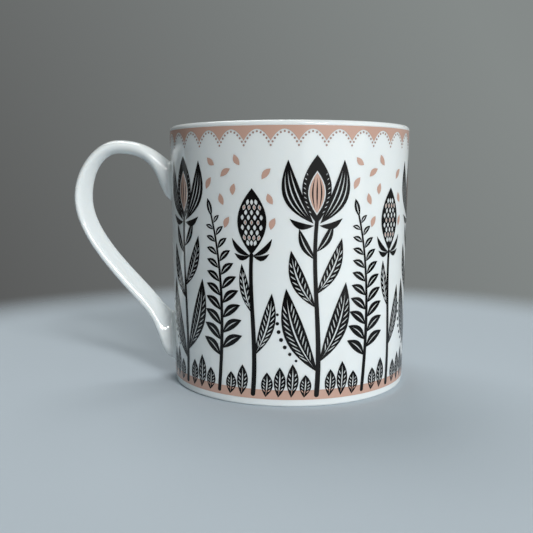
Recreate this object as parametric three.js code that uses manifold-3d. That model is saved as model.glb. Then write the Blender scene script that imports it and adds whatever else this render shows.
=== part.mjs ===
// A straight-sided bone china mug. The cup is one casting. The loop handle is a second casting, stuck to the cup
// by two pads of slip. Three printed transfers lie on the wall: a scalloped rim border, the main print, which
// leaves a gap at the handle, and a plain base band.
// Millimetres, +Z up. The origin is on the cup's axis, in the plane that the mug stands on. The handle points
// along -X, and the front faces -Y.

import * as THREE from 'three';
import { LoftGeometry } from 'three/addons/geometries/LoftGeometry.js';
import { mergeVertices } from 'three/addons/utils/BufferGeometryUtils.js';
import Module from 'manifold-3d';

const wasm = await Module();
wasm.setup();

// Cup
const cupHeight = 87;
const rimRadius = 41; // outside, just under the lip
const wallTaper = 0.8; // how much that radius narrows down to the base corner
const rimWall = 2.6; // thickness at the lip, which is fully rounded
const baseWall = 3.4; // thickness just above the floor's inside corner
const floorThickness = 4;
const baseCornerRadius = 1;
const insideCornerRadius = 6;
const footWidth = 3; // flat ring that the mug stands on
const footDepth = 0.7; // from that ring up to the underside

// Handle: lengths out from the wall, down from the rim or up from the base
const crownOut = 17.75; // highest point of the loop
const crownDrop = 4.3;
const crownThickness = 4.6;
const handleReach = 33; // outermost point of the loop
const shoulderDrop = 19.9; // from the highest point down to the outermost one
const shoulderThickness = 5.9;
const kneeOut = 7.7; // middle of the straight limb where it turns down into its seat
const kneeRise = 26.65;
const limbThickness = 6.15;
const limbLean = THREE.MathUtils.degToRad(50.3); // of the straight limb above the horizontal
const handleWidth = 9; // across the loop
const upperSeatDrop = 11.9;
const upperSeatHeight = 13.45;
const lowerSeatRise = 6;
const lowerSeatHeight = 16;
const seatWidth = 11;
const tailRound = 6.9; // how far the blunt tail under each seat stands out of the wall

// Slip pads between the handle's seats and the wall
const slipThickness = 0.5;
const slipGap = 0.1; // from the transfers' faces out to the pads, and from the pads out to the seats

// Printed transfers
const transferThickness = 0.15;
const transferGap = 0.06;
const borderDrop = 1.6; // from the rim down to the border's upper edge
const borderDepth = 4.5; // from there down to the points between its arches
const archHeight = 3.43;
const archCount = 31;
const baseBandRise = 2.4;
const baseBandHeight = 3;
const printMargin = 1; // from the main print to the border and to the base band
const printSeatMargin = 3.5; // from the handle's seats to the print's side edges

// Fineness of the facets
const aroundSteps = 96;
const cornerSteps = 5;
const lipSteps = 8;
const archSteps = 6;
const sectionSteps = 20;
const railSteps = 9;

// Lengths that only need to be long enough for a clean cut
const seatSink = 2;
const cutMargin = 10;

const wholeTurn = 2 * Math.PI;

// Outer radius of the plain wall at a height
const baseRadius = rimRadius - wallTaper;
const lipRadius = rimWall / 2;
const wallTop = cupHeight - lipRadius;
const wallAt = (z) => THREE.MathUtils.mapLinear(z, baseCornerRadius, wallTop, baseRadius, rimRadius);

// Point at a radius, an azimuth from the front towards +X, and a height
const around = (radius, azimuth, z) =>
  new THREE.Vector3(radius * Math.sin(azimuth), -radius * Math.cos(azimuth), z);

// Turned solid of a profile of radius and height
function turned(profile) {
  return new THREE.LatheGeometry(profile, aroundSteps).rotateX(Math.PI / 2);
}

// Points of an arc in a profile, from one angle to another
function arc(centreRadius, centreHeight, radius, from, to, steps) {
  const curve = new THREE.EllipseCurve(centreRadius, centreHeight, radius, radius, from, to, to < from);
  return curve.getPoints(steps);
}

// Closed solid whose shared vertices are merged, ready to be joined or cut
function toSolid(geometry) {
  const bare = new THREE.BufferGeometry();
  bare.setAttribute('position', geometry.getAttribute('position'));
  bare.setIndex(geometry.index);
  const merged = mergeVertices(bare);
  const vertProperties = merged.getAttribute('position').array;
  const triVerts = new Uint32Array(merged.index.array);
  return new wasm.Manifold(new wasm.Mesh({ numProp: 3, vertProperties, triVerts }));
}

function toGeometry(solid) {
  const { vertProperties, triVerts } = solid.getMesh();
  const geometry = new THREE.BufferGeometry();
  geometry.setAttribute('position', new THREE.BufferAttribute(vertProperties, 3));
  geometry.setIndex(new THREE.BufferAttribute(triVerts, 1));
  geometry.computeVertexNormals();
  return geometry;
}

// Cup: underside, foot ring, outside wall, lip, inside wall and floor, from the axis round to the axis
function cupGeometry() {
  const footOuter = baseRadius - baseCornerRadius;
  const footInner = footOuter - footWidth;
  const floorTop = footDepth + floorThickness;
  const insideRadius = baseRadius - baseWall;
  const profile = [
    new THREE.Vector2(0, footDepth),
    new THREE.Vector2(footInner - footDepth, footDepth),
    new THREE.Vector2(footInner, 0),
    ...arc(footOuter, baseCornerRadius, baseCornerRadius, -Math.PI / 2, 0, cornerSteps),
    ...arc(rimRadius - lipRadius, wallTop, lipRadius, 0, Math.PI, lipSteps),
    ...arc(
      insideRadius - insideCornerRadius,
      floorTop + insideCornerRadius,
      insideCornerRadius,
      0,
      -Math.PI / 2,
      cornerSteps,
    ),
    new THREE.Vector2(0, floorTop),
  ];
  return turned(profile);
}

// Sleeve that follows the wall between two heights and between two distances out from it
function sleeveGeometry(inner, outer, low, high) {
  const profile = [
    new THREE.Vector2(wallAt(low) + inner, low),
    new THREE.Vector2(wallAt(low) + outer, low),
    new THREE.Vector2(wallAt(high) + outer, high),
    new THREE.Vector2(wallAt(high) + inner, high),
    new THREE.Vector2(wallAt(low) + inner, low),
  ];
  return turned(profile);
}

// Everything inside the wall's surface moved out by a distance
function wallCore(out) {
  const low = -cutMargin;
  const high = cupHeight + cutMargin;
  const profile = [
    new THREE.Vector2(0, low),
    new THREE.Vector2(wallAt(low) + out, low),
    new THREE.Vector2(wallAt(high) + out, high),
    new THREE.Vector2(0, high),
  ];
  return toSolid(turned(profile));
}

// Handle in side view: outer and inner edges as curves of radius and height, each in four runs that go from the
// upper seat over the crown, round the shoulder and down the straight limb into the lower seat
function handleRails() {
  const outerRound = 0.51; // tangent lengths as shares of each run's extent: 0.55 makes a quarter ellipse
  const innerRound = 0.57;
  const crownSpread = 0.44;
  const undersideSpread = 0.86;
  const limbSpread = 0.3;
  const tailSpread = 0.52;
  const seatLean = new THREE.Vector2(Math.SQRT1_2, Math.SQRT1_2); // the crown leaves its seat at 45 degrees

  const out = (distance, z) => new THREE.Vector2(rimRadius + distance, z);
  const sunk = (z) => new THREE.Vector2(wallAt(z) - seatSink, z);
  const moved = (point, direction, length) => point.clone().addScaledVector(direction, length);
  const right = new THREE.Vector2(1, 0);
  const down = new THREE.Vector2(0, -1);
  const limb = new THREE.Vector2(-Math.cos(limbLean), -Math.sin(limbLean));
  const limbOutward = new THREE.Vector2(Math.sin(limbLean), -Math.cos(limbLean));

  const crownHeight = cupHeight - crownDrop;
  const shoulderHeight = crownHeight - shoulderDrop;
  const knee = out(kneeOut, kneeRise);
  const upperSeatTop = cupHeight - upperSeatDrop;
  const lowerSeatTop = lowerSeatRise + lowerSeatHeight;
  const outer = {
    seat: moved(sunk(upperSeatTop), down, seatSink),
    crown: out(crownOut, crownHeight),
    shoulder: out(handleReach, shoulderHeight),
    knee: moved(knee, limbOutward, limbThickness / 2),
    tail: sunk(lowerSeatRise),
  };
  const inner = {
    tail: sunk(upperSeatTop - upperSeatHeight),
    crown: out(crownOut, crownHeight - crownThickness),
    shoulder: out(handleReach - shoulderThickness, shoulderHeight),
    knee: moved(knee, limbOutward, -limbThickness / 2),
    seat: sunk(lowerSeatTop),
  };

  const run = (from, leaving, to, arriving) => new THREE.CubicBezierCurve(from, leaving, arriving, to);
  const shoulderRun = (edge, round) =>
    run(
      edge.crown,
      moved(edge.crown, right, round * (edge.shoulder.x - edge.crown.x)),
      edge.shoulder,
      moved(edge.shoulder, down, -round * (edge.crown.y - edge.shoulder.y)),
    );
  const limbRun = (edge) => {
    const spread = limbSpread * edge.shoulder.distanceTo(edge.knee);
    return run(edge.shoulder, moved(edge.shoulder, down, spread), edge.knee, moved(edge.knee, limb, -spread));
  };
  const outerCrownSpan = outer.crown.x - outer.seat.x;
  const innerCrownSpan = inner.crown.x - inner.tail.x;
  const tailSpan = outer.knee.distanceTo(outer.tail);
  const seatSpan = inner.knee.distanceTo(inner.seat);
  return {
    outer: [
      run(
        outer.seat,
        moved(outer.seat, seatLean, crownSpread * outerCrownSpan),
        outer.crown,
        moved(outer.crown, right, -crownSpread * outerCrownSpan),
      ),
      shoulderRun(outer, outerRound),
      limbRun(outer),
      run(
        outer.knee,
        moved(outer.knee, limb, tailSpread * tailSpan),
        outer.tail,
        moved(outer.tail, right, seatSink + tailRound),
      ),
    ],
    inner: [
      run(
        inner.tail,
        moved(inner.tail, right, seatSink + tailRound),
        inner.crown,
        moved(inner.crown, right, -undersideSpread * innerCrownSpan),
      ),
      shoulderRun(inner, innerRound),
      limbRun(inner),
      run(
        inner.knee,
        moved(inner.knee, limb, limbSpread * seatSpan),
        inner.seat,
        moved(inner.seat, right, limbSpread * seatSpan),
      ),
    ],
  };
}

// Egg-shaped section between a point of the outer edge and one of the inner edge
function handleSection(outerPoint, innerPoint, { width, lean, taper }) {
  const centre = outerPoint.clone().add(innerPoint).multiplyScalar(0.5);
  const half = outerPoint.clone().sub(innerPoint).multiplyScalar(0.5);
  return Array.from({ length: sectionSteps }, (_, index) => {
    const angle = (index / sectionSteps) * wholeTurn;
    const across = Math.cos(angle) + lean * Math.sin(angle) ** 2;
    const fullness = (1 + taper * across) / (1 + taper * lean);
    const point = centre.clone().addScaledVector(half, across);
    return new THREE.Vector3(-point.x, (width / 2) * fullness * Math.sin(angle), point.y);
  });
}

// Handle before its ends are cut to the wall. At its upper seat, crown, shoulder, knee and lower seat, lean is how
// far the widest place lies out of the middle, as a share of the half thickness, and taper is how much fuller the
// outer half is than the inner one
function handleBlank() {
  const rails = handleRails();
  const stations = [
    { width: seatWidth, lean: 0.22, taper: 0 },
    { width: handleWidth, lean: 0.1, taper: 0.06 },
    { width: handleWidth, lean: 0.36, taper: 0.3 },
    { width: handleWidth, lean: 0.42, taper: 0.22 },
    { width: seatWidth, lean: 0.28, taper: 0.2 },
  ];
  const sections = [];
  rails.outer.forEach((outerRun, index) => {
    for (let step = index === 0 ? 0 : 1; step <= railSteps; step += 1) {
      const share = step / railSteps;
      const ease = THREE.MathUtils.smoothstep(share, 0, 1);
      const between = (key) => THREE.MathUtils.lerp(stations[index][key], stations[index + 1][key], ease);
      const section = { width: between('width'), lean: between('lean'), taper: between('taper') };
      sections.push(handleSection(outerRun.getPoint(share), rails.inner[index].getPoint(share), section));
    }
  });
  return toSolid(new LoftGeometry(sections, { capStart: true, capEnd: true }));
}

// Distance of the transfers' outer face from the wall
const transferFace = transferGap + transferThickness;

// Thin skin on the wall between two azimuths, whose edges follow an upper and a lower height
function skinGeometry(from, to, steps, lowAt, highAt) {
  const section = (azimuth) => {
    const low = lowAt(azimuth);
    const high = highAt(azimuth);
    return [
      around(wallAt(low) + transferGap, azimuth, low),
      around(wallAt(high) + transferGap, azimuth, high),
      around(wallAt(high) + transferFace, azimuth, high),
      around(wallAt(low) + transferFace, azimuth, low),
    ];
  };
  const sections = Array.from({ length: steps + 1 }, (_, index) =>
    section(THREE.MathUtils.lerp(from, to, index / steps)),
  );
  const open = to - from < wholeTurn;
  return new LoftGeometry(sections, { capStart: open, capEnd: open });
}

// Border edge: parabolic arches whose points hang between them, with one point at the front
const borderTop = cupHeight - borderDrop;
const borderBottom = borderTop - borderDepth;
function borderEdge(azimuth) {
  const archShare = THREE.MathUtils.euclideanModulo((azimuth / wholeTurn) * archCount, 1);
  const fromMiddle = 2 * archShare - 1;
  return borderBottom + archHeight * (1 - fromMiddle ** 2);
}

const baseBandTop = baseBandRise + baseBandHeight;
const handleAzimuth = -Math.PI / 2;

function mainPrintGeometry() {
  const low = baseBandTop + printMargin;
  const high = borderBottom - printMargin;
  const gapAngle = Math.asin((seatWidth / 2 + printSeatMargin) / wallAt(low));
  const from = handleAzimuth + gapAngle;
  const to = handleAzimuth + wholeTurn - gapAngle;
  const steps = Math.round(((to - from) / wholeTurn) * aroundSteps);
  return skinGeometry(from, to, steps, () => low, () => high);
}

const mug = new THREE.Group();
mug.name = 'mug';

function addPiece(name, geometry, color, roughness) {
  const mesh = new THREE.Mesh(geometry, new THREE.MeshStandardMaterial({ color, roughness, metalness: 0 }));
  mesh.name = name;
  mug.add(mesh);
}

const china = 0xf0f2f1;
const slip = 0xe9eae6;
const dustyPink = 0xcfa896;
const blackInk = 0x232122;
const glazeRoughness = 0.12;
const slipRoughness = 0.3;
const inkRoughness = 0.2;

const blank = handleBlank();
const seatSplit = cupHeight / 2; // a height between the two seats
const slipInner = transferFace + slipGap;
const slipOuter = slipInner + slipThickness;
const upperSleeve = toSolid(sleeveGeometry(slipInner, slipOuter, seatSplit, cupHeight));
const lowerSleeve = toSolid(sleeveGeometry(slipInner, slipOuter, 0, seatSplit));

addPiece('cup_body', cupGeometry(), china, glazeRoughness);
addPiece('handle', toGeometry(blank.subtract(wallCore(slipOuter + slipGap))), china, glazeRoughness);
addPiece('upper_slip_joint', toGeometry(blank.intersect(upperSleeve)), slip, slipRoughness);
addPiece('lower_slip_joint', toGeometry(blank.intersect(lowerSleeve)), slip, slipRoughness);
addPiece(
  'rim_border_transfer',
  skinGeometry(0, wholeTurn, archCount * archSteps, borderEdge, () => borderTop),
  dustyPink,
  inkRoughness,
);
addPiece('main_print_transfer', mainPrintGeometry(), blackInk, inkRoughness);
addPiece(
  'base_band_transfer',
  sleeveGeometry(transferGap, transferFace, baseBandRise, baseBandTop),
  dustyPink,
  inkRoughness,
);

export default mug;
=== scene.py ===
import cmath
import math
from collections import namedtuple

import bmesh
import bpy
from mathutils import Matrix, Vector


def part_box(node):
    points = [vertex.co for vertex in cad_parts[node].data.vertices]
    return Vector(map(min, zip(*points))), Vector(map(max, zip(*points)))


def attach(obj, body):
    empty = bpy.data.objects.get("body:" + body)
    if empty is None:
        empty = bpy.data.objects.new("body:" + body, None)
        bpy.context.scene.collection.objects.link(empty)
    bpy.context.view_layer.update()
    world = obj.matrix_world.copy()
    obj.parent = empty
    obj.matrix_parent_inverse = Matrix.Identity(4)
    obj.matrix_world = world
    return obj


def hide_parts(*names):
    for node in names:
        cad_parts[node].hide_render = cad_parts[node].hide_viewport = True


# A bone china mug: a turned cup, a loop handle on two fillets of slip, and the inks of three printed
# transfers. Shapes are worked out in millimetres, and each finished mesh is scaled to metres.
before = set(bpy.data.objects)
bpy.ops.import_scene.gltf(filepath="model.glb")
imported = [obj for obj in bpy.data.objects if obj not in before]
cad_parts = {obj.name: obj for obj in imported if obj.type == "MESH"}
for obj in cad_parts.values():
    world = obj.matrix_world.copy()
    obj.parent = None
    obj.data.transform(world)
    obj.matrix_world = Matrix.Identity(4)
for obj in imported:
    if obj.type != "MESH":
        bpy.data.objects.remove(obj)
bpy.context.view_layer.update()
MM = 0.001

# Sizes that the solids give
cup_low, cup_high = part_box("cup_body")
handle_low, handle_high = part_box("handle")
border_low, border_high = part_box("rim_border_transfer")
band_low, band_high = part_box("base_band_transfer")
CUP_HEIGHT = cup_high.z / MM
RIM_RADIUS = cup_high.x / MM
CROWN_HEIGHT = handle_high.z / MM
HANDLE_REACH = -handle_low.x / MM - RIM_RADIUS
BORDER_TOP = border_high.z / MM
BORDER_POINTS = border_low.z / MM
BAND_TOP = band_high.z / MM
BAND_BOTTOM = band_low.z / MM

# Cup, whose foot ring is bare up to BARE_HEIGHT
WALL_TAPER = 0.8
RIM_WALL = 2.6
BASE_WALL = 3.4
FLOOR_THICKNESS = 4.0
BASE_CORNER = 1.0
INSIDE_CORNER = 6.0
FOOT_WIDTH = 3.0
FOOT_DEPTH = 0.7
FOOT_EDGE = 0.3
BARE_HEIGHT = 0.02
AROUND_STEPS = 144
CORNER_STEPS = 8
LIP_STEPS = 20
INSIDE_STEPS = 14
FOOT_EDGE_STEPS = 3

# Handle: lengths out from the wall, down from the rim or up from the base
CROWN_OUT = 17.75
CROWN_THICKNESS = 4.6
SHOULDER_DROP = 19.9
SHOULDER_THICKNESS = 5.9
KNEE_OUT = 7.7
KNEE_RISE = 26.65
LIMB_THICKNESS = 6.15
LIMB_LEAN = math.radians(50.3)
UPPER_SEAT_DROP = 11.9
UPPER_SEAT_HEIGHT = 13.45
LOWER_SEAT_RISE = 6.0
LOWER_SEAT_HEIGHT = 16.0
TAIL_ROUND = 6.9
SEAT_SINK = 2.0
SLIP_FILLET = 1.3
HEM_LIFT = 0.004
SECTION_STEPS = 64
RUN_STEPS = 32
FILLET_STEPS = 6
HALVINGS = 40

# Section of the handle at its upper seat, crown, shoulder, knee and lower seat: its width, how far
# its widest place leans to the outer edge, and how much fuller its outer half is
Section = namedtuple("Section", "width lean taper")
SECTIONS = (
    Section(11, 0.22, 0),
    Section(9, 0.1, 0.06),
    Section(9, 0.36, 0.3),
    Section(9, 0.42, 0.22),
    Section(11, 0.28, 0.2),
)

# Printed transfers
ARCH_COUNT = 31
ARCH_HEIGHT = 3.43
DOTS_PER_ARCH = 10
DOT_RADIUS = 0.32
DOT_DROP = 0.7
DOT_ARCH_HEIGHT = 4.02
ARCH_STEPS = 14
DOT_STEPS = 12
REPEATS = 5
REPEAT_TURN = math.radians(67.5)
REPEAT_FACETS = 27
INK_FILM = 0.018
INK_GAP = 0.012
LAYER_LIFT = INK_FILM / 3
VEIN_HALF = 0.17

# Vertices nearer to each other than this are merged, and ones nearer to a cut lie on it
CUP_SEAM = 0.001
HANDLE_SEAM = 0.0005
INK_SEAM = 0.002
CUT_SEAM = 0.0001

# The wall
BASE_RADIUS = RIM_RADIUS - WALL_TAPER
LIP_RADIUS = RIM_WALL / 2
WALL_TOP = CUP_HEIGHT - LIP_RADIUS


def wall_radius(height):
    return BASE_RADIUS + WALL_TAPER * (height - BASE_CORNER) / (WALL_TOP - BASE_CORNER)


PRINT_RADIUS = wall_radius(CUP_HEIGHT / 2)
REPEAT_WIDTH = REPEAT_TURN * PRINT_RADIUS


def on_wall(azimuth, height, lift):
    """Point over the wall, at an azimuth from the front towards +X."""
    radius = wall_radius(height) + lift
    return Vector((radius * math.sin(azimuth), -radius * math.cos(azimuth), height))


def bezier(controls, share):
    """Point of a cubic curve whose controls are vectors or complex numbers."""
    start, leaving, arriving, end = controls
    rest = 1 - share
    return (
        rest**3 * start
        + 3 * rest**2 * share * leaving
        + 3 * rest * share**2 * arriving
        + share**3 * end
    )


def heading(controls, share):
    """Direction of a cubic curve of complex numbers, one long."""
    start, leaving, arriving, end = controls
    rest = 1 - share
    slope = (
        rest**2 * (leaving - start)
        + 2 * rest * share * (arriving - leaving)
        + share**2 * (end - arriving)
    )
    return slope / abs(slope)


# Materials, with lengths in metres. Most values of a noise lie between NOISE_LOW and NOISE_HIGH.
NOISE_LOW = 0.3
NOISE_HIGH = 0.7
RIPPLE_DEPTH = 0.0004
LIGHT_DEPTH = 0.0012
LIGHT_SPREAD = (1, 0.95, 0.9)


def node_group(name, inputs, outputs):
    """Empty shader node group with named sockets, and its input and output nodes."""
    group = bpy.data.node_groups.new(name, "ShaderNodeTree")
    for socket, kind in inputs:
        group.interface.new_socket(name=socket, in_out="INPUT", socket_type=kind)
    for socket, kind in outputs:
        group.interface.new_socket(name=socket, in_out="OUTPUT", socket_type=kind)
    return group, group.nodes.new("NodeGroupInput"), group.nodes.new("NodeGroupOutput")


def noise(tree, scale, detail):
    """Noise over the piece's own coordinates, as the value's socket."""
    place = tree.nodes.new("ShaderNodeTexCoord")
    texture = tree.nodes.new("ShaderNodeTexNoise")
    texture.inputs["Scale"].default_value = scale
    texture.inputs["Detail"].default_value = detail
    tree.links.new(place.outputs["Object"], texture.inputs["Vector"])
    return texture.outputs["Fac"]


def spread(tree, value, low, high):
    """Map range of a noise's middle values, whose ends may be sockets or numbers."""
    ranged = tree.nodes.new("ShaderNodeMapRange")
    ranged.inputs["From Min"].default_value = NOISE_LOW
    ranged.inputs["From Max"].default_value = NOISE_HIGH
    tree.links.new(value, ranged.inputs["Value"])
    for socket, end in (("To Min", low), ("To Max", high)):
        if isinstance(end, bpy.types.NodeSocket):
            tree.links.new(end, ranged.inputs[socket])
        else:
            ranged.inputs[socket].default_value = end
    return ranged.outputs["Result"]


def glaze_flow_group():
    """Slow ripples of the fired glaze, and its roughness, which changes from place to place."""
    tree, given, made = node_group(
        "glaze_flow",
        (("Smoothest", "NodeSocketFloat"), ("Roughest", "NodeSocketFloat")),
        (("Ripple", "NodeSocketFloat"), ("Roughness", "NodeSocketFloat")),
    )
    ripple = noise(tree, scale=85, detail=1.5)
    tree.links.new(ripple, made.inputs["Ripple"])
    patches = noise(tree, scale=240, detail=3)
    roughness = spread(tree, patches, given.outputs["Smoothest"], given.outputs["Roughest"])
    tree.links.new(roughness, made.inputs["Roughness"])
    return tree


def fired_tint_group():
    """A colour that drifts towards a second one in soft clouds with a fine grain."""
    tree, given, made = node_group(
        "fired_tint",
        (("Colour", "NodeSocketColor"), ("Drift", "NodeSocketColor")),
        (("Tint", "NodeSocketColor"),),
    )
    cloud_share = 0.6
    clouds = noise(tree, scale=60, detail=2)
    grain = noise(tree, scale=2600, detail=2)
    both = tree.nodes.new("ShaderNodeMath")
    both.operation = "MULTIPLY_ADD"
    both.inputs[1].default_value = cloud_share
    tree.links.new(clouds, both.inputs[0])
    quiet = spread(tree, grain, low=0.05, high=0.35)
    tree.links.new(quiet, both.inputs[2])
    mixed = tree.nodes.new("ShaderNodeMix")
    mixed.data_type = "RGBA"
    tree.links.new(both.outputs["Value"], mixed.inputs["Factor"])
    tree.links.new(given.outputs["Colour"], mixed.inputs["A"])
    tree.links.new(given.outputs["Drift"], mixed.inputs["B"])
    tree.links.new(mixed.outputs["Result"], made.inputs["Tint"])
    return tree


GLAZE_FLOW = glaze_flow_group()
FIRED_TINT = fired_tint_group()


def fired_material(name, colour, drift, roughness, ripple, gloss=0.5, translucence=0):
    """Fired surface: a drifting tint under a rippled skin, between two values of roughness."""
    material = bpy.data.materials.new(name)
    material.use_nodes = True
    tree = material.node_tree
    shader = tree.nodes["Principled BSDF"]
    tint = tree.nodes.new("ShaderNodeGroup")
    tint.node_tree = FIRED_TINT
    tint.inputs["Colour"].default_value = (*colour, 1)
    tint.inputs["Drift"].default_value = (*drift, 1)
    tree.links.new(tint.outputs["Tint"], shader.inputs["Base Color"])
    flow = tree.nodes.new("ShaderNodeGroup")
    flow.node_tree = GLAZE_FLOW
    flow.inputs["Smoothest"].default_value = roughness[0]
    flow.inputs["Roughest"].default_value = roughness[1]
    tree.links.new(flow.outputs["Roughness"], shader.inputs["Roughness"])
    bump = tree.nodes.new("ShaderNodeBump")
    bump.inputs["Strength"].default_value = ripple
    bump.inputs["Distance"].default_value = RIPPLE_DEPTH
    tree.links.new(flow.outputs["Ripple"], bump.inputs["Height"])
    tree.links.new(bump.outputs["Normal"], shader.inputs["Normal"])
    shader.inputs["Specular IOR Level"].default_value = gloss
    shader.inputs["Subsurface Weight"].default_value = translucence
    shader.inputs["Subsurface Radius"].default_value = LIGHT_SPREAD
    shader.inputs["Subsurface Scale"].default_value = LIGHT_DEPTH
    return material


GLAZED_CHINA = fired_material(
    "glazed_china",
    colour=(0.79, 0.83, 0.84),
    drift=(0.76, 0.80, 0.80),
    roughness=(0.03, 0.06),
    ripple=0.025,
    translucence=0.8,
)
GLAZED_SLIP = fired_material(
    "glazed_slip",
    colour=(0.78, 0.82, 0.83),
    drift=(0.75, 0.79, 0.79),
    roughness=(0.04, 0.08),
    ripple=0.04,
)
BARE_FOOT = fired_material(
    "bare_foot",
    colour=(0.74, 0.73, 0.70),
    drift=(0.66, 0.65, 0.62),
    roughness=(0.55, 0.75),
    ripple=0.5,
)
PINK_INK = fired_material(
    "pink_ink",
    colour=(0.55, 0.355, 0.285),
    drift=(0.51, 0.325, 0.26),
    roughness=(0.05, 0.1),
    ripple=0.12,
)
DOT_INK = fired_material(
    "dot_ink",
    colour=(0.36, 0.23, 0.2),
    drift=(0.32, 0.2, 0.17),
    roughness=(0.05, 0.1),
    ripple=0.12,
)
BLACK_INK = fired_material(
    "black_ink",
    colour=(0.003, 0.003, 0.003),
    drift=(0.006, 0.0055, 0.006),
    roughness=(0.05, 0.1),
    ripple=0.05,
    gloss=0.2,
)


# Finished pieces
def add_piece(bm, name, materials, nodes):
    """Scales a mesh to metres, and makes it a piece that rides on the mug and stands for CAD nodes."""
    bmesh.ops.scale(bm, vec=(MM, MM, MM), verts=bm.verts)
    mesh = bpy.data.meshes.new(name)
    bm.to_mesh(mesh)
    bm.free()
    for material in materials:
        mesh.materials.append(material)
    piece = bpy.data.objects.new(name, mesh)
    bpy.context.scene.collection.objects.link(piece)
    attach(piece, "root")
    if nodes:
        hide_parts(*nodes)
    return piece


# Cup
def profile_arc(bm, start, centre, turn, steps):
    """Turns a profile vertex about a centre in the XZ plane, and gives the arc's last vertex."""
    made = bmesh.ops.spin(
        bm,
        geom=[start],
        cent=(centre[0], 0, centre[1]),
        axis=(0, -1, 0),
        angle=turn,
        steps=steps,
    )
    return made["geom_last"][0]


def profile_line(bm, start, radius, height):
    end = bm.verts.new((radius, 0, height))
    bm.edges.new((start, end))
    return end


def make_cup():
    """Turns one profile: underside, foot ring, wall, round lip, inside and floor, from axis to axis."""
    foot_outer = BASE_RADIUS - BASE_CORNER
    foot_inner = foot_outer - FOOT_WIDTH
    floor_top = FOOT_DEPTH + FLOOR_THICKNESS
    inside_radius = BASE_RADIUS - BASE_WALL
    bm = bmesh.new()
    corner = bm.verts.new((0, 0, FOOT_DEPTH))
    corner = profile_line(bm, corner, foot_inner - FOOT_DEPTH, FOOT_DEPTH)
    corner = profile_line(bm, corner, foot_inner, 0)
    corner = profile_line(bm, corner, foot_outer, 0)
    corner = profile_arc(bm, corner, (foot_outer, BASE_CORNER), math.pi / 2, CORNER_STEPS)
    corner = profile_line(bm, corner, RIM_RADIUS, WALL_TOP)
    lip_centre = (RIM_RADIUS - LIP_RADIUS, WALL_TOP)
    corner = profile_arc(bm, corner, lip_centre, math.pi, LIP_STEPS)
    corner = profile_line(bm, corner, inside_radius, floor_top + INSIDE_CORNER)
    inside_centre = (inside_radius - INSIDE_CORNER, floor_top + INSIDE_CORNER)
    corner = profile_arc(bm, corner, inside_centre, -math.pi / 2, INSIDE_STEPS)
    profile_line(bm, corner, 0, floor_top)
    bmesh.ops.spin(
        bm,
        geom=bm.verts[:] + bm.edges[:],
        cent=(0, 0, 0),
        axis=(0, 0, 1),
        angle=2 * math.pi,
        steps=AROUND_STEPS,
        use_merge=True,
    )
    bmesh.ops.remove_doubles(bm, verts=bm.verts, dist=CUP_SEAM)
    near = 0.01
    foot_edges = [
        edge
        for edge in bm.edges
        if all(abs(vert.co.xy.length - foot_inner) < near and vert.co.z < near for vert in edge.verts)
    ]
    bmesh.ops.bevel(
        bm,
        geom=foot_edges,
        offset=FOOT_EDGE,
        affect="EDGES",
        segments=FOOT_EDGE_STEPS,
        profile=0.5,
        material=-1,
    )
    bmesh.ops.recalc_face_normals(bm, faces=bm.faces)
    for face in bm.faces:
        face.smooth = True
        face.material_index = int(all(vert.co.z < BARE_HEIGHT for vert in face.verts))
    add_piece(bm, "turned_cup", (GLAZED_CHINA, BARE_FOOT), ["cup_body"])


make_cup()


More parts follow.
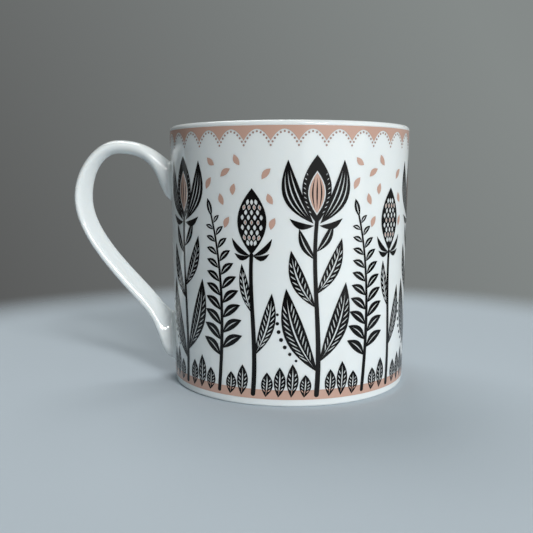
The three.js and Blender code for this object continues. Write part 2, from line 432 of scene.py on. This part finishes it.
# Handle
def handle_rails():
    """Four runs of the outer and inner edges, from the upper seat over the crown to the lower seat."""
    outer_round, inner_round = 0.51, 0.57
    crown_spread, underside_spread = 0.44, 0.86
    limb_spread, tail_spread = 0.3, 0.52
    right, down = Vector((1, 0)), Vector((0, -1))
    seat_lean = Vector((1, 1)).normalized()
    limb = Vector((-math.cos(LIMB_LEAN), -math.sin(LIMB_LEAN)))
    limb_outward = Vector((math.sin(LIMB_LEAN), -math.cos(LIMB_LEAN)))

    def out(distance, height):
        return Vector((RIM_RADIUS + distance, height))

    def sunk(height):
        return Vector((wall_radius(height) - SEAT_SINK, height))

    shoulder_height = CROWN_HEIGHT - SHOULDER_DROP
    knee = out(KNEE_OUT, KNEE_RISE)
    upper_top = CUP_HEIGHT - UPPER_SEAT_DROP
    outer_seat = sunk(upper_top) + down * SEAT_SINK
    outer_crown = out(CROWN_OUT, CROWN_HEIGHT)
    outer_shoulder = out(HANDLE_REACH, shoulder_height)
    outer_knee = knee + limb_outward * LIMB_THICKNESS / 2
    outer_tail = sunk(LOWER_SEAT_RISE)
    inner_tail = sunk(upper_top - UPPER_SEAT_HEIGHT)
    inner_crown = out(CROWN_OUT, CROWN_HEIGHT - CROWN_THICKNESS)
    inner_shoulder = out(HANDLE_REACH - SHOULDER_THICKNESS, shoulder_height)
    inner_knee = knee - limb_outward * LIMB_THICKNESS / 2
    inner_seat = sunk(LOWER_SEAT_RISE + LOWER_SEAT_HEIGHT)

    def shoulder_run(crown, shoulder, roundness):
        across = right * roundness * (shoulder.x - crown.x)
        drop = down * roundness * (crown.y - shoulder.y)
        return crown, crown + across, shoulder - drop, shoulder

    def limb_run(shoulder, joint):
        length = limb_spread * (shoulder - joint).length
        return shoulder, shoulder + down * length, joint - limb * length, joint

    blunt = right * (SEAT_SINK + TAIL_ROUND)
    outer_span = outer_crown.x - outer_seat.x
    inner_span = inner_crown.x - inner_tail.x
    tail_span = (outer_knee - outer_tail).length
    seat_span = limb_spread * (inner_knee - inner_seat).length
    return (
        (
            (
                outer_seat,
                outer_seat + seat_lean * crown_spread * outer_span,
                outer_crown - right * crown_spread * outer_span,
                outer_crown,
            ),
            (
                inner_tail,
                inner_tail + blunt,
                inner_crown - right * underside_spread * inner_span,
                inner_crown,
            ),
        ),
        (
            shoulder_run(outer_crown, outer_shoulder, outer_round),
            shoulder_run(inner_crown, inner_shoulder, inner_round),
        ),
        (limb_run(outer_shoulder, outer_knee), limb_run(inner_shoulder, inner_knee)),
        (
            (outer_knee, outer_knee + limb * tail_spread * tail_span, outer_tail + blunt, outer_tail),
            (inner_knee, inner_knee + limb * seat_span, inner_seat + right * seat_span, inner_seat),
        ),
    )


HANDLE_RAILS = handle_rails()
LAST_RUN = len(HANDLE_RAILS) - 1


def handle_point(place, angle):
    """Point of the skin: place is a run's number plus a share of it, angle goes round the section."""
    run = min(int(place), LAST_RUN)
    share = place - run
    outer = bezier(HANDLE_RAILS[run][0], share)
    inner = bezier(HANDLE_RAILS[run][1], share)
    ease = share**2 * (3 - 2 * share)
    width, lean, taper = (
        before + (after - before) * ease for before, after in zip(SECTIONS[run], SECTIONS[run + 1])
    )
    across = math.cos(angle) + lean * math.sin(angle) ** 2
    fullness = (1 + taper * across) / (1 + taper * lean)
    edge = (outer + inner) / 2 + (outer - inner) / 2 * across
    return Vector((-edge.x, width / 2 * fullness * math.sin(angle), edge.y))


def place_off_wall(angle, buried, free, stand_off):
    """Place between a buried end and a free one where the skin stands off the wall by a distance."""
    for _ in range(HALVINGS):
        middle = (buried + free) / 2
        point = handle_point(middle, angle)
        if point.xy.length - wall_radius(point.z) < stand_off:
            buried = middle
        else:
            free = middle
    return free


SECTION_ANGLES = [2 * math.pi * step / SECTION_STEPS for step in range(SECTION_STEPS)]


def fillet_rings(buried, free):
    """Rings of a slip fillet, from the handle's end down and out onto the wall."""
    ends, feet = (
        [handle_point(place_off_wall(angle, buried, free, stand_off), angle) for angle in SECTION_ANGLES]
        for stand_off in (SLIP_FILLET, 0)
    )
    middle = sum(feet, Vector()) / SECTION_STEPS
    hems = []
    for index, foot in enumerate(feet):
        along = feet[(index + 1) % SECTION_STEPS] - feet[index - 1]
        away = along.cross(Vector((foot.x, foot.y, 0))).normalized()
        if away.dot(foot - middle) < 0:
            away.negate()
        hem = foot + away * SLIP_FILLET
        hems.append(on_wall(math.atan2(hem.x, -hem.y), hem.z, HEM_LIFT))
    rings = []
    for step in range(FILLET_STEPS + 1):
        share = step / FILLET_STEPS
        rest = 1 - share
        rings.append(
            [
                rest**2 * end + 2 * rest * share * foot + share**2 * hem
                for end, foot, hem in zip(ends, feet, hems)
            ]
        )
    return rings


def handle_rings():
    """Rings of the handle's skin between its two fillets."""
    first = [place_off_wall(angle, 0, 1, SLIP_FILLET) for angle in SECTION_ANGLES]
    last = [place_off_wall(angle, LAST_RUN + 1, LAST_RUN, SLIP_FILLET) for angle in SECTION_ANGLES]
    rings = []
    for step in range(len(HANDLE_RAILS) * RUN_STEPS + 1):
        place = step / RUN_STEPS
        ring = []
        for angle, start, end in zip(SECTION_ANGLES, first, last):
            if place < 1:
                fitted = start + (1 - start) * place
            elif place > LAST_RUN:
                fitted = LAST_RUN + (end - LAST_RUN) * (place - LAST_RUN)
            else:
                fitted = place
            ring.append(handle_point(fitted, angle))
        rings.append(ring)
    return rings


def ring_normals(rings):
    """Normals of a skin of rings, one for each point, facing out of it."""
    normals = []
    for index, ring in enumerate(rings):
        before = rings[max(index - 1, 0)]
        after = rings[min(index + 1, len(rings) - 1)]
        row = []
        for step in range(SECTION_STEPS):
            round_it = ring[(step + 1) % SECTION_STEPS] - ring[step - 1]
            row.append(round_it.cross(after[step] - before[step]).normalized())
        normals.append(row)
    return normals


def add_skin(name, rings, normals, material, nodes):
    """Closed piece from rings. Its skin keeps the whole handle's normals, so that no seam shows."""
    bm = bmesh.new()
    bmesh.ops.create_grid(bm, x_segments=len(rings) - 1, y_segments=SECTION_STEPS, size=1)
    spot = bm.verts.layers.int.new("spot")
    for vert in bm.verts:
        row = round((vert.co.x + 1) / 2 * (len(rings) - 1))
        step = round((vert.co.y + 1) / 2 * SECTION_STEPS) % SECTION_STEPS
        vert.co = rings[row][step]
        vert[spot] = row * SECTION_STEPS + step
    bmesh.ops.remove_doubles(bm, verts=bm.verts, dist=HANDLE_SEAM)
    flat_normals = [normal for row in normals for normal in row]
    kept = [flat_normals[vert[spot]] for vert in bm.verts]
    bm.verts.layers.int.remove(spot)
    bmesh.ops.holes_fill(bm, edges=bm.edges)
    bmesh.ops.recalc_face_normals(bm, faces=bm.faces)
    for face in bm.faces:
        face.smooth = len(face.verts) == 4
    piece = add_piece(bm, name, (material,), nodes)
    piece.data.normals_split_custom_set_from_vertices(kept)


def make_handle():
    """One run of rings from wall to wall, parted into a fillet, the handle and the other fillet."""
    upper = fillet_rings(0, 1)
    loop = handle_rings()
    lower = fillet_rings(LAST_RUN + 1, LAST_RUN)
    whole = upper[::-1] + loop[1:-1] + lower
    normals = ring_normals(whole)
    loop_start = FILLET_STEPS
    loop_end = len(whole) - FILLET_STEPS - 1
    for name, first, last, slot, material, nodes in (
        ("upper_slip_fillet", 0, loop_start, "slip", GLAZED_SLIP, ["upper_slip_joint"]),
        ("loop_handle", loop_start, loop_end, "glazed_china", GLAZED_CHINA, ["handle"]),
        ("lower_slip_fillet", loop_end, len(whole) - 1, "slip", GLAZED_SLIP, ["lower_slip_joint"]),
    ):
        add_skin(name, whole[first : last + 1], normals[first : last + 1], material, nodes)


make_handle()


# Ink shapes, drawn flat as complex numbers: millimetres along the wall, plus the height times 1j.
# A leaf runs from its base to its tip. Its bow bends it to the left of that line.
Leaf = namedtuple("Leaf", "base tip half bow")
Stem = namedtuple("Stem", "controls half_base half_tip")
Dot = namedtuple("Dot", "centre radius")
LEAF_FULLNESS = 0.36

# A cubic curve's middle stands out 3/4 as far as its two controls
CONTROL_REACH = 4 / 3

# Steps from knot to knot of outlines that are smaller than a size
OUTLINE_STEPS = ((1.5, 3), (6, 5), (15, 9), (math.inf, 14))


def leaf_side(leaf, across):
    """Curve along a leaf: across is 0 on its midrib, 1 on its left edge and -1 on its right edge."""
    along = leaf.tip - leaf.base
    aside = 1j * along / abs(along) * (leaf.bow + leaf.half * across) * CONTROL_REACH
    run = along * LEAF_FULLNESS
    return leaf.base, leaf.base + run + aside, leaf.tip - run + aside, leaf.tip


def leaf_point(leaf, along, across):
    return bezier(leaf_side(leaf, across), along)


def vein(leaf, start, end, half=VEIN_HALF):
    """Thin leaf inside another one, between two of its points, each given along and across it."""
    first = leaf_point(leaf, *start)
    last = leaf_point(leaf, *end)
    middle = leaf_point(leaf, (start[0] + end[0]) / 2, (start[1] + end[1]) / 2)
    aside = 1j * (last - first) / abs(last - first)
    bow = ((middle - (first + last) / 2) * aside.conjugate()).real
    return Leaf(first, last, half, bow)


def outline(shape):
    """Knots of a closed outline, each with its point and the controls before and after it."""
    if isinstance(shape, Leaf):
        left, right = leaf_side(shape, 1), leaf_side(shape, -1)
        return [(left[0], right[1], left[1]), (left[3], left[2], right[2])]
    start, leaving, arriving, end = shape.controls
    base_way, tip_way = heading(shape.controls, 0), heading(shape.controls, 1)
    base_aside, tip_aside = 1j * base_way * shape.half_base, 1j * tip_way * shape.half_tip
    base_cap = base_way * shape.half_base * CONTROL_REACH
    tip_cap = tip_way * shape.half_tip * CONTROL_REACH
    return [
        (start + base_aside, start + base_aside - base_cap, leaving + base_aside),
        (end + tip_aside, arriving + tip_aside, end + tip_aside + tip_cap),
        (end - tip_aside, end - tip_aside + tip_cap, arriving - tip_aside),
        (start - base_aside, leaving - base_aside, start - base_aside - base_cap),
    ]


def curve_steps(knots):
    """Fewer steps on small outlines than on large ones."""
    size = max(abs(knot[0] - knots[0][0]) for knot in knots)
    return next(steps for limit, steps in OUTLINE_STEPS if size < limit)


def lay_ink(bm, shapes, layer):
    """Fills a shape flat. Shapes inside it are left open, and shapes inside those are filled again."""
    seen = len(bm.verts)
    if isinstance(shapes[0], Dot):
        centre, radius = shapes[0]
        place = Matrix.Translation((centre.real, centre.imag, 0))
        bmesh.ops.create_circle(bm, cap_ends=True, segments=DOT_STEPS, radius=radius, matrix=place)
    else:
        curve = bpy.data.curves.new("ink_outline", "CURVE")
        curve.dimensions = "2D"
        curve.fill_mode = "BOTH"
        for knots in map(outline, shapes):
            spline = curve.splines.new("BEZIER")
            spline.bezier_points.add(len(knots) - 1)
            spline.use_cyclic_u = True
            spline.resolution_u = curve_steps(knots)
            for point, (at, before, after) in zip(spline.bezier_points, knots):
                point.handle_left_type = point.handle_right_type = "FREE"
                point.co = (at.real, at.imag, 0)
                point.handle_left = (before.real, before.imag, 0)
                point.handle_right = (after.real, after.imag, 0)
        drawn = bpy.data.objects.new("ink_outline", curve)
        bm.from_mesh(drawn.to_mesh())
        drawn.to_mesh_clear()
        bpy.data.objects.remove(drawn)
        bpy.data.curves.remove(curve)
    bm.verts.ensure_lookup_table()
    for vert in bm.verts[seen:]:
        vert.co.z = INK_GAP + layer * LAYER_LIFT


def cut_upright(bm, spacing, low, high):
    """Cuts flat ink at even places along the wall, so that it can bend."""
    for step in range(math.ceil(low / spacing), math.floor(high / spacing) + 1):
        bmesh.ops.bisect_plane(
            bm,
            geom=bm.verts[:] + bm.edges[:] + bm.faces[:],
            dist=CUT_SEAM,
            plane_co=(step * spacing, 0, 0),
            plane_no=(1, 0, 0),
        )


def wrap_ink(flat, radius, first_azimuth, turn, count):
    """Repeats flat ink round the wall and gives it a film's thickness. Closes the flat mesh."""
    sheet = bpy.data.meshes.new("flat_ink")
    flat.to_mesh(sheet)
    flat.free()
    bm = bmesh.new()
    for repeat in range(count):
        seen = len(bm.verts)
        bm.from_mesh(sheet)
        bm.verts.ensure_lookup_table()
        for vert in bm.verts[seen:]:
            azimuth = first_azimuth + repeat * turn + vert.co.x / radius
            vert.co = on_wall(azimuth, vert.co.y, vert.co.z)
    bpy.data.meshes.remove(sheet)
    bmesh.ops.remove_doubles(bm, verts=bm.verts, dist=INK_SEAM)
    made = bmesh.ops.extrude_face_region(bm, geom=bm.faces[:])
    for vert in (item for item in made["geom"] if isinstance(item, bmesh.types.BMVert)):
        radial = Vector((vert.co.x, vert.co.y, 0)).normalized()
        vert.co += radial * INK_FILM
    bmesh.ops.recalc_face_normals(bm, faces=bm.faces)
    return bm


def add_ink(bm, name, material, nodes):
    """Ink piece whose broad faces have the wall's own normals."""
    least_facing = 0.5
    for face in bm.faces:
        face.smooth = True
    piece = add_piece(bm, name, (material,), nodes)
    normals = []
    mesh = piece.data
    for polygon in mesh.polygons:
        for corner in polygon.loop_indices:
            point = mesh.vertices[mesh.loops[corner].vertex_index].co
            radial = Vector((point.x, point.y, 0)).normalized()
            facing = polygon.normal.dot(radial)
            if abs(facing) > least_facing:
                normals.append(radial * math.copysign(1, facing))
            else:
                normals.append(polygon.normal.copy())
    mesh.normals_split_custom_set(normals)


def even_places(curve, count):
    """Shares of a flat curve that part it into equal lengths, with its two ends."""
    fine = 400
    points = [curve(step / fine) for step in range(fine + 1)]
    lengths = [0]
    for before, after in zip(points, points[1:]):
        lengths.append(lengths[-1] + abs(after - before))

    def step_at(length):
        return min(range(fine + 1), key=lambda step: abs(lengths[step] - length))

    return [step_at(lengths[-1] * index / count) / fine for index in range(count + 1)]


def make_rim_border():
    """Pink border cut in parabolic arches, and under each arch a row of dots that meets the next row."""
    turn = 2 * math.pi / ARCH_COUNT
    radius = wall_radius(BORDER_TOP)
    width = turn * radius
    arch_top = BORDER_POINTS + ARCH_HEIGHT

    def arch(share, top, drop):
        return complex(share * width, top - drop * (2 * share - 1) ** 2)

    def dot_row(share):
        return arch(share, arch_top - DOT_DROP, DOT_ARCH_HEIGHT)

    bm = bmesh.new()
    upper = [bm.verts.new((0, BORDER_TOP, INK_GAP))]
    for step in range(1, ARCH_STEPS + 1):
        end = bm.verts.new((width * step / ARCH_STEPS, BORDER_TOP, INK_GAP))
        bm.edges.new((upper[-1], end))
        upper.append(end)
    made = bmesh.ops.extrude_edge_only(bm, edges=bm.edges[:])
    for vert in (item for item in made["geom"] if isinstance(item, bmesh.types.BMVert)):
        vert.co.y = arch(vert.co.x / width, arch_top, ARCH_HEIGHT).imag
    border = wrap_ink(bm, radius, 0, turn, ARCH_COUNT)
    add_ink(border, "rim_border_ink", PINK_INK, ["rim_border_transfer"])

    bm = bmesh.new()
    for share in even_places(dot_row, DOTS_PER_ARCH)[:-1]:
        lay_ink(bm, [Dot(dot_row(share), DOT_RADIUS)], 0)
    dots = wrap_ink(bm, radius, 0, turn, ARCH_COUNT)
    add_ink(dots, "rim_border_dots", DOT_INK, [])


make_rim_border()


def make_base_band():
    """Plain band, turned from its section."""
    bm = bmesh.new()
    corners = [
        bm.verts.new((wall_radius(height) + lift, 0, height))
        for height, lift in (
            (BAND_BOTTOM, INK_GAP),
            (BAND_BOTTOM, INK_GAP + INK_FILM),
            (BAND_TOP, INK_GAP + INK_FILM),
            (BAND_TOP, INK_GAP),
        )
    ]
    for index, corner in enumerate(corners):
        bm.edges.new((corners[index - 1], corner))
    bmesh.ops.spin(
        bm,
        geom=bm.verts[:] + bm.edges[:],
        cent=(0, 0, 0),
        axis=(0, 0, 1),
        angle=2 * math.pi,
        steps=AROUND_STEPS,
        use_merge=True,
    )
    bmesh.ops.recalc_face_normals(bm, faces=bm.faces)
    add_ink(bm, "base_band_ink", PINK_INK, ["base_band_transfer"])


make_base_band()


# Meadow print. Each plant gives the black shapes and the pink shapes of one repeat.
def veined(leaf, pairs, midrib=0.25, start=0.14, end=0.74, reach=0.1, inner=0.24, outer=0.8):
    """Leaf with an open midrib and open side veins."""
    midrib_start, midrib_end = 0.06, 0.9
    shapes = [leaf, vein(leaf, (midrib_start, 0), (midrib_end, 0), midrib)]
    for index in range(pairs):
        along = start + (end - start) * index / max(1, pairs - 1)
        for across in (-1, 1):
            shapes.append(vein(leaf, (along, across * inner), (along + reach, across * outer)))
    return shapes


def striped(leaf, places, start, end, half):
    """Leaf with open stripes along it."""
    return [leaf] + [vein(leaf, (start, across), (end, across), half) for across in places]


def grass():
    """Row of short veined blades, with room left for the stems."""
    heights = (9.5, 10.6, 7.2, 0, 8.6, 10.8, 7.4, 0, 7.2, 9.8, 0, 7.8)
    pitch = REPEAT_WIDTH / len(heights)
    foot_height, half, lean = 3.1, 1.86, 0.5
    black = []
    for index, height in enumerate(heights):
        if height:
            foot = complex((index + 0.5) * pitch, foot_height)
            blade = Leaf(foot, foot + complex(lean, height), half, -lean / 2)
            black.append(
                veined(blade, 4, midrib=0.2, start=0.2, end=0.62, reach=0.12, inner=0.3, outer=0.78)
            )
    return black, []


def dots_beside(leaf):
    """Row of dots along a leaf's left edge, largest in the middle."""
    count, first, pitch = 7, 0.2, 0.095
    stand_off, least, growth = 1.25, 0.3, 0.34
    along = leaf.tip - leaf.base
    dots = []
    for index in range(count):
        swell = math.sin(math.pi * (index + 1) / (count + 1))
        spot = leaf_point(leaf, first + pitch * index, 1) + stand_off * 1j * along / abs(along)
        dots.append([Dot(spot, least + growth * swell)])
    return dots


def tulip_flower(foot):
    """Striped petals and small sepals on both sides of a notched heart, which is open round a pink leaf."""
    black = []
    for mirror in (-1, 1):
        petal_base = foot + complex(mirror, 0.1)
        petal_tip = foot + complex(8.6 * mirror, 19)
        petal = Leaf(petal_base, petal_tip, half=2.75, bow=-2.75 * mirror)
        sepal_base = foot + complex(0.8 * mirror, -0.5)
        sepal_tip = foot + complex(8.2 * mirror, 1.6)
        sepal = Leaf(sepal_base, sepal_tip, half=1.0, bow=-1.2 * mirror)
        black += [striped(petal, (-0.52, 0, 0.52), start=0.12, end=0.86, half=0.2), [sepal]]
    heart = Leaf(foot, foot + 20.4j, half=4.5, bow=0)
    hollow = Leaf(foot + 2.6j, foot + 15.8j, half=2.7, bow=0)
    notches, first, pitch, slant = 9, 0.15, 0.07, 0.035
    inner, outer = 0.74, 0.92
    middle = [heart, hollow]
    for index in range(notches):
        along = first + pitch * index
        for across in (-1, 1):
            notch_start, notch_end = (along, across * inner), (along + slant, across * outer)
            middle.append(vein(heart, notch_start, notch_end, half=0.14))
    middle += [vein(hollow, (0.12, across), (0.86, across), half=0.24) for across in (-0.5, 0, 0.5)]
    black.append(middle)
    return black, [[Leaf(foot + 3.2j, foot + 15.2j, half=2.3, bow=0)]]


def tulip():
    """Tall stalk with six leaves under a flower."""
    stalk = (13.95 + 3.9j, 15.6 + 24j, 11.8 + 40j, 13.5 + 57j)
    low_left = Leaf(14.1 + 11j, 4.4 + 37j, 3.3, 2.4)
    black = [
        [Stem(stalk, 0.8, 0.6)],
        veined(low_left, 10),
        veined(Leaf(14.6 + 14j, 23.2 + 38.5j, 3.1, -2.2), 9),
        veined(Leaf(13.4 + 31j, 5.8 + 48.5j, 2.3, 1.6), 7),
        veined(Leaf(13.4 + 35j, 21.6 + 52j, 2.2, -1.5), 7),
        veined(Leaf(13.2 + 45.6j, 8.2 + 55j, 1.3, 0.9), 0, midrib=VEIN_HALF),
        veined(Leaf(13.5 + 48j, 18.6 + 56.8j, 1.3, -0.9), 0, midrib=VEIN_HALF),
    ]
    flower, pink = tulip_flower(13.5 + 56.4j)
    return black + dots_beside(low_left) + flower, pink


def fern():
    """Stalk with pairs of leaflets that shorten upwards, and one more at its tip."""
    stalk = (29.9 + 3.9j, 32.2 + 26j, 31.6 + 44j, 27.4 + 59j)
    pairs, first, pitch, delay = 10, 0.17, 0.081, 0.04
    longest, shortening, easing = 8.4, 0.62, 1.3
    stand_off, splay = 0.4, math.radians(54)
    half_share, least_half, bow_share = 0.17, 0.15, 0.09
    last_start, last_length, last_half = 0.985, 5, 1.0
    leaflets = []
    for index in range(pairs):
        length = longest * (1 - shortening * (index / (pairs - 1)) ** easing)
        for late, mirror in ((0, 1), (delay, -1)):
            place = first + pitch * index + late
            way = heading(stalk, place)
            base = bezier(stalk, place) + stand_off * 1j * way * mirror
            tip = base + way * cmath.rect(length, mirror * splay)
            half = half_share * length + least_half
            leaflets.append(Leaf(base, tip, half, bow=-mirror * bow_share * length))
    last_tip = bezier(stalk, 1) + last_length * heading(stalk, 1)
    leaflets.append(Leaf(bezier(stalk, last_start), last_tip, last_half, bow=0))
    black = [[Stem(stalk, 0.65, 0.32)]]
    black += [striped(leaflet, (0,), start=0.1, end=0.82, half=VEIN_HALF) for leaflet in leaflets]
    return black, []


def teasel():
    """Stalk with two leaves under a head of open scales, with pink in every third row, and four bracts."""
    foot = 41.6 + 47j
    stalk = (41.85 + 3.9j, 43.4 + 20j, 40.6 + 34j, foot)
    black = [
        [Stem(stalk, 0.75, 0.6)],
        veined(Leaf(42.4 + 16j, 47.9 + 35.5j, 2.2, -1.4), 8),
        veined(Leaf(41.6 + 29j, 38.4 + 44.2j, 1.55, 0.7), 6),
    ]
    head = Leaf(foot, foot + complex(0.2, 20), half=4.6, bow=0)
    rows, first, pitch, length = 9, 0.13, 0.078, 0.088
    row_of_three, row_of_four = (-0.44, 0, 0.44), (-0.66, -0.22, 0.22, 0.66)
    scales = [head]
    pink = []
    for row in range(rows):
        along = first + pitch * row
        for across in row_of_four if row % 2 else row_of_three:
            scale = vein(head, (along, across), (along + length, across), half=0.5)
            scales.append(scale)
            if row % 3 == 1:
                pink.append([vein(scale, (0.14, 0), (0.86, 0), half=0.3)])
    black.append(scales)
    for mirror in (-1, 1):
        base = foot + complex(0.4 * mirror, -0.3)
        black.append([Leaf(base, foot + complex(6.4 * mirror, 5.0), half=0.85, bow=-1.1 * mirror)])
        black.append([Leaf(base, foot + complex(5.6 * mirror, 0.4), half=0.8, bow=-1.1 * mirror)])
    return black, pink


def drifting_petals():
    """Loose petals over the ferns and teasels, by their middle, turn in degrees and length."""
    half, bow = 0.95, 0.25
    pink = []
    for middle, turn, length in (
        (26.6 + 68.4j, 60, 4.2),
        (31.6 + 63.6j, 110, 3.8),
        (33.0 + 71.6j, 35, 4.2),
        (27.6 + 75.0j, 140, 3.6),
        (35.8 + 66.6j, 80, 3.6),
        (37.0 + 75.4j, 120, 3.8),
        (33.4 + 56.6j, 65, 3.8),
        (48.2 + 56.4j, 70, 3.8),
        (47.4 + 63.8j, 115, 3.6),
        (46.2 + 71.2j, 50, 4.2),
    ):
        reach = cmath.rect(length / 2, math.radians(turn))
        pink.append([Leaf(middle - reach, middle + reach, half, bow)])
    return [], pink


def make_meadow():
    """Draws one repeat flat, bends its copies onto the wall, and leaves a gap at the handle."""
    handle_azimuth = -math.pi / 2
    first_azimuth = handle_azimuth + (2 * math.pi - REPEATS * REPEAT_TURN) / 2
    spacing = REPEAT_WIDTH / REPEAT_FACETS
    overhang = 4 * spacing
    flat_black, flat_pink = bmesh.new(), bmesh.new()
    for plant in (grass, tulip, fern, teasel, drifting_petals):
        black, pink = plant()
        for order, shapes in enumerate(black):
            lay_ink(flat_black, shapes, 1 + order % 2)
        for shapes in pink:
            lay_ink(flat_pink, shapes, 0)
    for flat, name, material, slot, nodes in (
        (flat_black, "meadow_black_ink", BLACK_INK, "black_print", ["main_print_transfer"]),
        (flat_pink, "meadow_pink_ink", PINK_INK, "pink_print", []),
    ):
        cut_upright(flat, spacing, 0, REPEAT_WIDTH + overhang)
        ink = wrap_ink(flat, PRINT_RADIUS, first_azimuth, REPEAT_TURN, REPEATS)
        add_ink(ink, name, material, nodes)


make_meadow()


# Stage: floor, room, windows and camera. Places are in millimetres, and other lengths in metres.
FLOOR_FADE = 0.15
FLOOR_END = 0.23
FLOOR_STEPS = 128
FLOOR_COLOUR = (0.525, 0.595, 0.652, 1)
FLOOR_ROUGHNESS = 0.55
FLOOR_GLOSS = 0.2
ROOM_DARK = (0.1, 0.102, 0.101, 1)
ROOM_PALE = (0.235, 0.255, 0.25, 1)
PALE_WAY = (0.85, 0, 0.5)
BLEND_END = 0.35
LIT_PLACE = (0, 0, 45)
Window = namedtuple("Window", "name place size watts")
WINDOWS = (
    Window("right_window", (1400, -2700, 1200), (0.6, 1.3), 53),
    Window("left_pane", (840, -2715, 2060), (0.5, 0.4), 18),
    Window("room_light", (1700, -2100, 700), (3.2, 2.6), 24),
    Window("back_window", (-200, 550, 1050), (0.7, 0.6), 5),
)
CAMERA_PLACE = (-18.45, -258.07, 71.2)
CAMERA_TILT = math.radians(82.815)
CAMERA_TURN = math.radians(-2.36)
CAMERA_SENSOR = 36
CAMERA_LENS = 49.62


def make_floor():
    """Pale round floor that fades out into the backdrop."""
    bm = bmesh.new()
    bmesh.ops.create_circle(bm, cap_ends=True, segments=FLOOR_STEPS, radius=FLOOR_END)
    mesh = bpy.data.meshes.new("floor")
    bm.to_mesh(mesh)
    bm.free()
    material = bpy.data.materials.new("pale_floor")
    material.use_nodes = True
    tree = material.node_tree
    shader = tree.nodes["Principled BSDF"]
    place = tree.nodes.new("ShaderNodeTexCoord")
    distance = tree.nodes.new("ShaderNodeVectorMath")
    distance.operation = "LENGTH"
    tree.links.new(place.outputs["Object"], distance.inputs[0])
    fade = tree.nodes.new("ShaderNodeMapRange")
    fade.interpolation_type = "SMOOTHSTEP"
    fade.inputs["From Min"].default_value = FLOOR_FADE
    fade.inputs["From Max"].default_value = FLOOR_END
    fade.inputs["To Min"].default_value = 1
    fade.inputs["To Max"].default_value = 0
    tree.links.new(distance.outputs["Value"], fade.inputs["Value"])
    tree.links.new(fade.outputs["Result"], shader.inputs["Alpha"])
    shader.inputs["Base Color"].default_value = FLOOR_COLOUR
    shader.inputs["Roughness"].default_value = FLOOR_ROUGHNESS
    shader.inputs["Specular IOR Level"].default_value = FLOOR_GLOSS
    mesh.materials.append(material)
    floor = bpy.data.objects.new("floor", mesh)
    bpy.context.scene.collection.objects.link(floor)


def make_world():
    """Grey room, which gets paler upwards and to the right."""
    world = bpy.data.worlds.new("grey_room")
    world.use_nodes = True
    bpy.context.scene.world = world
    tree = world.node_tree
    way = tree.nodes.new("ShaderNodeTexCoord")
    across = tree.nodes.new("ShaderNodeVectorMath")
    across.operation = "DOT_PRODUCT"
    across.inputs[1].default_value = PALE_WAY
    tree.links.new(way.outputs["Generated"], across.inputs[0])
    shade = tree.nodes.new("ShaderNodeMapRange")
    shade.inputs["From Min"].default_value = -BLEND_END
    shade.inputs["From Max"].default_value = BLEND_END
    tree.links.new(across.outputs["Value"], shade.inputs["Value"])
    colour = tree.nodes.new("ShaderNodeMix")
    colour.data_type = "RGBA"
    colour.inputs["A"].default_value = ROOM_DARK
    colour.inputs["B"].default_value = ROOM_PALE
    tree.links.new(shade.outputs["Result"], colour.inputs["Factor"])
    tree.links.new(colour.outputs["Result"], tree.nodes["Background"].inputs["Color"])


def add_window(name, place, size, watts):
    """Soft rectangular light, turned to the cup."""
    light = bpy.data.lights.new(name, "AREA")
    light.shape = "RECTANGLE"
    light.size, light.size_y = size
    light.energy = watts
    window = bpy.data.objects.new(name, light)
    window.location = Vector(place) * MM
    window.rotation_euler = (Vector(LIT_PLACE) - Vector(place)).to_track_quat("-Z", "Y").to_euler()
    bpy.context.scene.collection.objects.link(window)


def add_camera():
    lens = bpy.data.cameras.new("camera")
    lens.sensor_width = CAMERA_SENSOR
    lens.lens = CAMERA_LENS
    camera = bpy.data.objects.new("camera", lens)
    camera.location = Vector(CAMERA_PLACE) * MM
    camera.rotation_euler = (CAMERA_TILT, 0, CAMERA_TURN)
    bpy.context.scene.collection.objects.link(camera)
    bpy.context.scene.camera = camera


make_floor()
make_world()
for window in WINDOWS:
    add_window(*window)
add_camera()
bpy.context.scene.view_settings.view_transform = "Standard"
